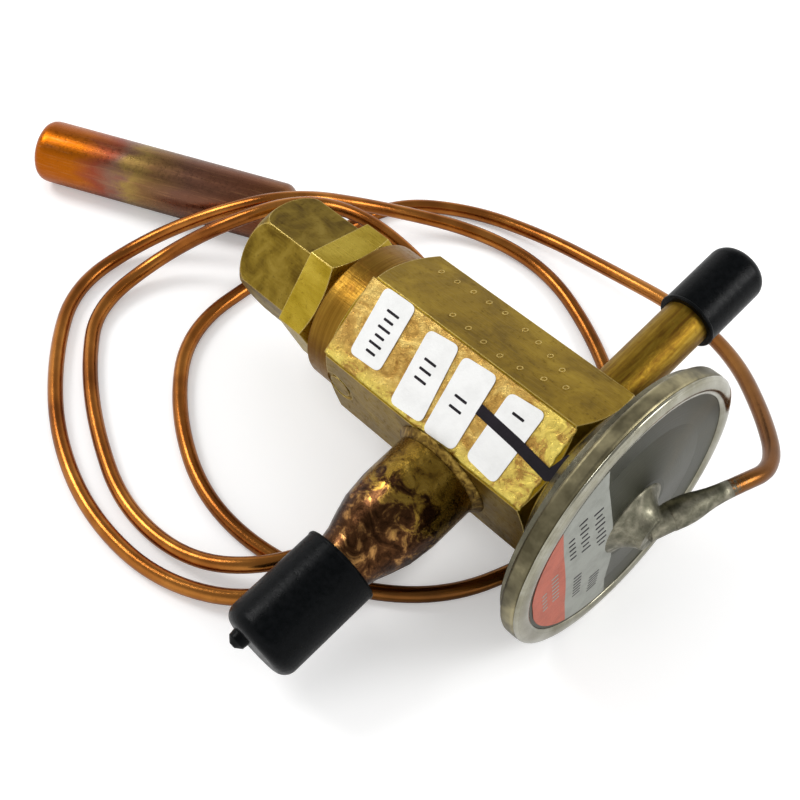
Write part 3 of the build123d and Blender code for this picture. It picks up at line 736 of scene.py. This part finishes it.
def join_loops(mesh, loops):
    """Faces between each closed loop of points and the next, and from the last loop back to the first."""
    for here, after in zip(loops, loops[1:] + loops[:1]):
        for k in range(len(here)):
            n = (k + 1) % len(here)
            mesh.faces.new((here[k], here[n], after[n], after[k]))


STROKE_ROUND = 0.4              # a share of its width


def stroke(x, y, length, width):
    """The outline of a short bar about (x, y), lying along x."""
    along = Vector((length / 2, 0))
    out = Vector((0, width / 2))
    middle = Vector((x, y))
    corners = [middle + along + out, middle - along + out, middle - along - out, middle + along - out]
    return rounded_outline(corners, width * STROKE_ROUND, 3)


SAME_POINT = 1e-7               # metres


def turned_mesh(name, profile, spot, steps=160):
    """A closed (along, radius) profile turned once round: spot places (along, side, side)."""
    mesh = bmesh.new()
    loops = []
    for i in range(steps):
        angle = 2 * math.pi * i / steps
        loops.append([
            mesh.verts.new(spot(x, r * math.cos(angle), r * math.sin(angle))) for x, r in profile
        ])
    join_loops(mesh, loops)
    bmesh.ops.remove_doubles(mesh, verts=mesh.verts[:], dist=SAME_POINT)
    return keep_mesh(mesh, name, smooth=True)


# ---- label foil, its stickers and their print
FOIL_LIFT = 0.04
FOIL_CREASE = 0.16              # the creases' height
FOIL_T = 0.03
FOIL_START = BODY_START + 0.5
FOIL_END = BODY_END - 0.9
FOIL_HALF = FLAT_HALF - 0.35
FOIL_TEAR = 0.35                # how uneven its far end is
FOIL_EDGE = 0.8                 # the border that lies flat
FOIL_EDGE_STEPS = 4
FOIL_STEPS = (150, 52)
STICKER_LIFT = 0.16
STICKER_T = 0.12
STICKER_ROUND = 1.4
STROKE_W = 0.5
PRINT_T = 0.03
STICKERS = {                    # corners on the label's flat: along it and across it
    "sticker_1": [(-56.0, 8.3), (-48.4, 8.5), (-47.5, -5.0), (-54.9, -5.4)],
    "sticker_2": [(-43.9, 6.8), (-37.0, 7.6), (-34.9, -7.4), (-42.4, -7.9)],
    "sticker_3": [(-35.3, 6.8), (-27.8, 7.4), (-26.9, -7.6), (-34.0, -8.1)],
    "sticker_4": [(-24.4, 6.6), (-16.8, 7.3), (-17.3, -7.6), (-24.4, -7.0)],
}
STICKER_MARKS = {               # plain strokes on each sticker: along, across, length
    "sticker_1": [(-51.6 + 0.1 * i, 5.0 - 1.6 * i, 3.0 - 0.7 * (i % 2)) for i in range(6)],
    "sticker_2": [(-40.0 + 0.15 * i, 2.2 - 1.8 * i, 2.8) for i in range(3)],
    "sticker_3": [(-31.2, 0.4, 2.8), (-31.0, -1.6, 2.8)],
    "sticker_4": [(-20.6, 4.0, 2.6)],
}
BAND = [                        # the ink stroke across the last two stickers
    (-27.4, 2.0), (-18.2, 1.3), (-10.9, 0.4), (-9.6, 4.2), (-8.5, 3.9), (-8.9, -1.0), (-10.4, -1.8),
    (-18.3, -0.7), (-27.4, 0.0),
]


def crumple(x, side):
    """Height of the foil's creases, from 0 to about 1: broad ones with finer ones on them."""
    broad = noise.noise(Vector((x * 0.22, side * 0.22, 1.7)))
    fine = noise.noise(Vector((x * 0.75, side * 0.75, 8.3)))
    return abs(broad) + 0.5 * abs(fine)


def make_foil():
    """The label's foil over one flat, crumpled, its ends torn a little unevenly."""
    steps_x, steps_y = FOIL_STEPS
    mesh = bmesh.new()
    rows = []
    for i in range(steps_x + 1):
        row = []
        for k in range(steps_y + 1):
            side = -FOIL_HALF + 2 * FOIL_HALF * k / steps_y
            torn = FOIL_TEAR * noise.noise(Vector((side * 0.6, 3.1, 0.0)))
            x = FOIL_START + (FOIL_END - FOIL_START + torn) * i / steps_x
            ends = min(i, steps_x - i) / FOIL_EDGE_STEPS
            edge = min(1.0, (FOIL_HALF - abs(side)) / FOIL_EDGE, ends)
            lift = FOIL_LIFT + FOIL_CREASE * edge * crumple(x, side)
            row.append(mesh.verts.new(label_spot(x, side, lift)))
        rows.append(row)
    for i in range(steps_x):
        for k in range(steps_y):
            mesh.faces.new((rows[i][k], rows[i + 1][k], rows[i + 1][k + 1], rows[i][k + 1]))
    foil = make_piece(keep_mesh(mesh, "label_foil", smooth=True), "foil", "valve")
    skin = foil.modifiers.new("thickness", "SOLIDIFY")
    skin.thickness = FOIL_T * MM
    skin.offset = -1.0


def make_stickers():
    """Paper stickers with plain strokes in place of their print, and the ink band over two of them."""
    top = STICKER_LIFT + STICKER_T
    for name, corners in STICKERS.items():
        mesh = bmesh.new()
        add_plate(mesh, rounded_outline(corners, STICKER_ROUND), label_spot, STICKER_LIFT, top)
        make_piece(keep_mesh(mesh, name), "white_paper", "valve")
        mesh = bmesh.new()
        for x, side, length in STICKER_MARKS[name]:
            add_plate(mesh, stroke(x, side, length, STROKE_W), label_spot, top, top + PRINT_T)
        make_piece(keep_mesh(mesh, name + "_print"), "ink", "valve")
    mesh = bmesh.new()
    add_plate(mesh, BAND, label_spot, STICKER_LIFT, top + PRINT_T)
    make_piece(keep_mesh(mesh, "ink_band"), "ink", "valve")


# ---- spring: cut in two halves, one toward the guide's end and one toward the pin carrier's end
SPRING_GUIDE_END = -54.0        # along the valve's axis
SPRING_PIN_END = -40.0


def make_spring_halves():
    """The CAD spring cut at its middle into two halves, each with its cut filled."""
    source = nodes["superheat_spring"]
    middle = (SPRING_GUIDE_END + SPRING_PIN_END) / 2
    cut, along = valve_spot(middle, 0, 0), valve_spot(1, 0, 0) - valve_spot(0, 0, 0)
    for name, end, body, keep_low in (
        ("spring_guide_half", SPRING_GUIDE_END, "guide", True),
        ("spring_pin_half", SPRING_PIN_END, "pin_assembly", False),
    ):
        mesh = bmesh.new()
        mesh.from_mesh(source.data)
        mesh.transform(source.matrix_world)
        bmesh.ops.remove_doubles(mesh, verts=mesh.verts[:], dist=SAME_POINT)
        bmesh.ops.bisect_plane(
            mesh, geom=mesh.verts[:] + mesh.edges[:] + mesh.faces[:], plane_co=cut, plane_no=along,
            clear_outer=keep_low, clear_inner=not keep_low,
        )
        bmesh.ops.holes_fill(mesh, edges=[edge for edge in mesh.edges if edge.is_boundary], sides=0)
        data = bpy.data.meshes.new(name)
        mesh.to_mesh(data)
        mesh.free()
        half = add_object(name, data)
        dress(half, "steel_inner")
        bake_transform(half)
        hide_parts("superheat_spring")


# ---- plain punch marks on the top flat: along and across it
PUNCHES = [
    (-54.6, 4.6), (-50.8, 5.0), (-47.0, 5.4), (-43.2, 5.6), (-39.4, 5.8), (-34.0, 5.2), (-30.2, 4.4),
    (-26.4, 3.2), (-22.6, 1.8), (-43.6, -4.4), (-39.4, -4.8), (-35.2, -5.4), (-31.0, -5.8),
    (-26.8, -5.2), (-22.6, -3.6), (-19.0, -1.8),
]
PUNCH_R = 0.62
PUNCH_LONG = 1.3                # a ring is taller across the flat than along it
PUNCH_WIDE = 0.8
PUNCH_W = 0.2
PUNCH_H = 0.05
PUNCH_SINK = -0.02
PUNCH_STEPS = 20


def make_punches():
    """Small rings, where a punch has raised the brass round each mark."""
    mesh = bmesh.new()
    inner = PUNCH_R - PUNCH_W
    section = [(PUNCH_R, PUNCH_SINK), (PUNCH_R, PUNCH_H), (inner, PUNCH_H), (inner, PUNCH_SINK)]
    for x, side in PUNCHES:
        rings = []
        for radius, lift in section:
            ring = []
            for k in range(PUNCH_STEPS):
                angle = 2 * math.pi * k / PUNCH_STEPS
                along = x + PUNCH_WIDE * radius * math.cos(angle)
                across = side + PUNCH_LONG * radius * math.sin(angle)
                ring.append(mesh.verts.new(top_spot(along, across, lift)))
            rings.append(ring)
        join_loops(mesh, rings)
    make_piece(keep_mesh(mesh, "punch_marks"), "stamp", "valve")


# ---- power element: rolled bead, two-colour label and its print
FACE_RISE = 1.2                 # the face's shallow cone, from one radius in to the other
FACE_FLAT_R = 19.0
FACE_LAND_R = 8.4
BEAD = [                        # along the axis, radius
    (-0.5, 28.3), (-0.3, 28.42), (0.0, 28.25), (0.3, 27.7), (0.5, 27.0), (0.55, 26.3), (0.45, 25.6),
    (0.22, 25.1), (0.02, 24.9), (-0.3, 25.2), (-0.55, 27.6),
]
FACE_LABEL_R = 24.3
FACE_LABEL_START = -FACE_LABEL_R + 0.2
FACE_LABEL_SPLIT = -16.3        # the chord between the two colours
FACE_LABEL_EDGE = -5.5          # the chord where the label ends
FACE_LABEL_LIFT = 0.03
FACE_LABEL_T = 0.08
FACE_LABEL_STEPS = (24, 60)
FACE_STROKE_W = 0.45
PRINT_SINK = 0.01


def make_face_label(name, finish, first, last):
    """Part of the round label between two chords, lying on the face and its cone."""
    steps_y, steps_z = FACE_LABEL_STEPS
    mesh = bmesh.new()
    layers = []
    for lift in (FACE_LABEL_LIFT, FACE_LABEL_LIFT + FACE_LABEL_T):
        rows = []
        for i in range(steps_y + 1):
            y = first + (last - first) * i / steps_y
            reach = math.sqrt(max(0.01, FACE_LABEL_R ** 2 - y ** 2))
            row = [face_spot(y, reach * (2 * k / steps_z - 1), lift) for k in range(steps_z + 1)]
            rows.append([mesh.verts.new(point) for point in row])
        layers.append(rows)
    lower, upper = layers
    for rows in layers:
        for i in range(steps_y):
            for k in range(steps_z):
                mesh.faces.new((rows[i][k], rows[i + 1][k], rows[i + 1][k + 1], rows[i][k + 1]))
    rim = [(i, 0) for i in range(steps_y + 1)]
    rim += [(steps_y, k) for k in range(1, steps_z + 1)]
    rim += [(i, steps_z) for i in range(steps_y - 1, -1, -1)]
    rim += [(0, k) for k in range(steps_z - 1, 0, -1)]
    for a, b in zip(rim, rim[1:] + rim[:1]):
        mesh.faces.new((lower[a[0]][a[1]], lower[b[0]][b[1]], upper[b[0]][b[1]], upper[a[0]][a[1]]))
    make_piece(keep_mesh(mesh, name), finish, "valve")


# plain strokes on the label: y, z, length
FACE_MARKS = [(-8.2, 14.0 - 1.5 * i, 2.2 - 0.8 * (i % 3 == 1)) for i in range(8)]
FACE_MARKS += [(-11.6, 15.0 - 1.5 * i, 2.0 - 0.6 * (i % 2)) for i in range(7)]
FACE_MARKS += [(-14.4, 12.5 - 1.5 * i, 1.4) for i in range(5)]
FACE_MARKS += [(-13.6, -2.0 - 1.4 * i, 1.8) for i in range(7)]
FACE_MARKS += [(-9.4, -8.0 - 1.4 * i, 2.4) for i in range(6)]
RED_MARKS = [(-18.6, 5.0 - 1.5 * i, 1.6) for i in range(7)]
RED_MARKS += [(-21.2, 2.0 - 1.5 * i, 1.2) for i in range(5)]


def make_face_print(name, marks, finish):
    mesh = bmesh.new()
    low = FACE_LABEL_LIFT + FACE_LABEL_T
    for y, z, length in marks:
        add_plate(mesh, stroke(y, z, length, FACE_STROKE_W), face_spot, low - PRINT_SINK, low + PRINT_T)
    make_piece(keep_mesh(mesh, name), finish, "valve")


def make_power_element():
    make_piece(turned_mesh("rolled_bead", BEAD, valve_spot), "bead", "valve")
    make_face_label("face_label_red", "red_paper", FACE_LABEL_START, FACE_LABEL_SPLIT)
    make_face_label("face_label_grey", "grey_paper", FACE_LABEL_SPLIT, FACE_LABEL_EDGE)
    make_face_print("face_label_print", FACE_MARKS, "ink")
    make_face_print("face_label_red_print", RED_MARKS, "grey_paper")


# ---- sensing bulb, its spun end flat with a small round and its far end crimped
BULB_R = 7.25
BULB_STEPS = 128
BULB_SHARP = math.radians(40)
BULB = [                        # along from the tip, radius: it starts inside the CAD bulb's rounder end
    (1.2, 0.0), (1.2, 5.2), (1.38, 5.95), (1.82, 6.6), (2.45, 7.02), (3.3, 7.22), (4.2, BULB_R),
    (60.9, BULB_R), (61.6, 7.1), (62.4, 6.6), (63.4, 5.6), (64.4, 4.7), (65.3, 4.2), (65.7, 3.7),
    (65.7, 0.0),
]


def make_bulb():
    side = Vector((0, 0, 1)).cross(BULB_DIR)

    def spot(x, y, z):
        return BULB_TIP + (BULB_DIR * x + side * y + Vector((0, 0, z))) * MM

    bulb = make_piece(turned_mesh("bulb", BULB, spot, BULB_STEPS), "copper_bulb", "valve")
    bulb.data.set_sharp_from_angle(angle=BULB_SHARP)
    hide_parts("sensing_bulb")
    return bulb


# ---- solder run at the boss, and the caps' moulded lips
SOLDER_RUN = [                  # along the capillary from its exit, radius
    (-3.4, 0.4), (-3.4, 2.6), (-1.0, 2.68), (0.4, 2.6), (1.8, 2.4), (3.2, 2.1), (4.8, 1.84), (6.6, 1.68),
    (8.4, 1.62), (8.4, 0.4),
]
SOLDER_STEPS = 48
OUTLET_X, OUTLET_LIP_AT, OUTLET_CAP_R = -30.1, 39.8, 7.7
INLET_X, INLET_LIP_AT, INLET_CAP_R = -17.6, 38.0, 5.9
LIP_R = 0.4
LIP_SET = 0.25                  # how far its middle is inside the cap's own radius
LIP_SECTION = 12
LIP_STEPS = 96


def make_solder_run():
    start, out = boss_end()
    side = UP.cross(out).normalized()

    def spot(x, y, z):
        return start + (out * x + side * y + UP * z) * MM

    make_piece(turned_mesh("boss_solder", SOLDER_RUN, spot, SOLDER_STEPS), "solder", "valve")


def make_lip(name, x, direction, at, cap_r, body):
    """A soft rolled lip round a dust cap's mouth, at that distance along the tube from the valve's axis."""
    ring = []
    for i in range(LIP_SECTION):
        angle = 2 * math.pi * i / LIP_SECTION
        ring.append((at + LIP_R * (1 + math.cos(angle)), cap_r - LIP_SET + LIP_R * math.sin(angle)))

    def spot(along, y, z):
        return valve_spot(x + y, direction * along, z)

    make_piece(turned_mesh(name, ring, spot, LIP_STEPS), "black_vinyl", body)


make_bulb()
make_spring_halves()
make_foil()
make_stickers()
make_punches()
make_power_element()
make_solder_run()
make_lip("inlet_cap_lip", INLET_X, 1, INLET_LIP_AT, INLET_CAP_R, "inlet_cap_body")
make_lip("outlet_cap_lip", OUTLET_X, -1, OUTLET_LIP_AT, OUTLET_CAP_R, "outlet_cap_body")


# ---- floor, light and background
WHITE = (1.0, 1.0, 1.0, 1.0)
AMBIENT = 0.74                  # the world's strength on dull surfaces
CEILING_FROM = 0.3              # a direction's height, 1 straight up, where metal's view of the room dims
CEILING_TO = 0.8
CEILING_LEVEL = 0.35
FLOOR_REACH = 3.0
FLOOR_COLOUR = (0.86, 0.86, 0.86, 1.0)
FLOOR_ROUGH = 0.9
FLOOR_GLOSS = 0.1
FLOOR_GLOW = 0.3                # for the camera alone, so that the floor meets the white background
LAMPS = {                       # place, aim, size across and watts
    "key": ((-0.5, -0.2, 0.55), (-0.02, 0.0, 0.02), 0.3, 2.0),
    "fill": ((0.45, 0.35, 0.4), (0.0, 0.0, 0.02), 0.3, 1.6),
}


def make_floor():
    mesh = bpy.data.meshes.new("floor")
    corners = [(-1, -1), (1, -1), (1, 1), (-1, 1)]
    mesh.from_pydata([(x * FLOOR_REACH, y * FLOOR_REACH, 0) for x, y in corners], [], [(0, 1, 2, 3)])
    floor = add_object("floor", mesh)
    finish = Finish("floor", 0.0, FLOOR_ROUGH)
    finish.shader.inputs["Base Color"].default_value = FLOOR_COLOUR
    finish.shader.inputs["Specular IOR Level"].default_value = FLOOR_GLOSS
    seen = finish.node("LightPath", {}).outputs["Is Camera Ray"]
    finish.feed(finish.shader.inputs["Emission Strength"], finish.maths("MULTIPLY", seen, FLOOR_GLOW))
    finish.shader.inputs["Emission Color"].default_value = WHITE
    mesh.materials.append(finish.material)


def make_world():
    """White all round for the camera and for metal, but dimmer overhead in metal, as a ceiling is."""
    world = bpy.data.worlds.new("world")
    bpy.context.scene.world = world
    world.use_nodes = True
    tree = world.node_tree
    back = tree.nodes["Background"]

    def step(kind, links, **settings):
        made = tree.nodes.new("ShaderNode" + kind)
        for key, value in settings.items():
            setattr(made, key, value)
        for key, value in links.items():
            if isinstance(value, bpy.types.NodeSocket):
                tree.links.new(value, made.inputs[key])
            else:
                made.inputs[key].default_value = value
        return made

    path = step("LightPath", {}).outputs
    mirror = step("Math", {0: path["Is Glossy Ray"], 1: path["Is Transmission Ray"]}, operation="MAXIMUM")
    height = step("SeparateXYZ", {0: step("TexCoord", {}).outputs["Generated"]}).outputs[2]
    ceiling = step("MapRange", {
        "Value": height, "From Min": CEILING_FROM, "From Max": CEILING_TO, "To Min": 1.0,
        "To Max": CEILING_LEVEL,
    }, interpolation_type="SMOOTHSTEP").outputs[0]
    level = step("MapRange", {
        "Value": mirror.outputs[0], "To Min": AMBIENT, "To Max": ceiling,
    }).outputs[0]
    seen = step("MapRange", {"Value": path["Is Camera Ray"], "To Min": level, "To Max": 1.0}).outputs[0]
    tree.links.new(seen, back.inputs["Strength"])
    back.inputs["Color"].default_value = WHITE


def make_lamp(name, place, aim, size, watts):
    data = bpy.data.lights.new(name, "AREA")
    data.shape = "DISK"
    data.size = size
    data.energy = watts
    lamp = add_object(name, data)
    turn = (Vector(aim) - Vector(place)).to_track_quat("-Z", "Y").to_matrix().to_4x4()
    lamp.matrix_world = Matrix.Translation(Vector(place)) @ turn


make_floor()
make_world()
for name, (place, aim, size, watts) in LAMPS.items():
    make_lamp(name, place, aim, size, watts)
bpy.context.scene.view_settings.view_transform = "Standard"

bpy.context.view_layer.update()
